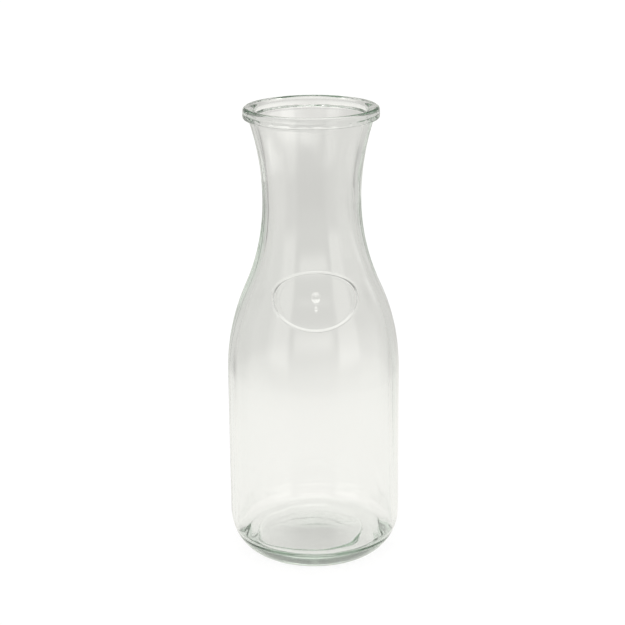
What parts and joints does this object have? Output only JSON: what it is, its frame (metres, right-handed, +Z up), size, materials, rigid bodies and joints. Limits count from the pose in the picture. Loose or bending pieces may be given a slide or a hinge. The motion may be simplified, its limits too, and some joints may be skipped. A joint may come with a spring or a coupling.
{
  "type": "glass milk bottle",
  "caption": "Clear, faintly green glass milk bottle with a banded wide mouth, a waisted neck, sloping shoulders with a raised oval, and a round-heeled body.",
  "frame": {"origin": "centre of the base, on the surface that the bottle stands on", "axes": "+Z up along the bottle's axis, the raised oval faces -Y, +X to the right of the oval"},
  "size_m": [0.0954, 0.0954, 0.255],
  "materials": {
    "bottle_glass": "clear, faintly green, glossy"
  },
  "bodies": {
    "root": {"rim_band": "bottle_glass", "collar": "bottle_glass", "throat": "bottle_glass", "neck": "bottle_glass", "shoulder": "bottle_glass", "plaque_ring": "bottle_glass", "plaque_mark": "bottle_glass", "body_wall": "bottle_glass", "heel": "bottle_glass", "bearing_ring": "bottle_glass", "base_plate": "bottle_glass"}
  },
  "joints": []
}
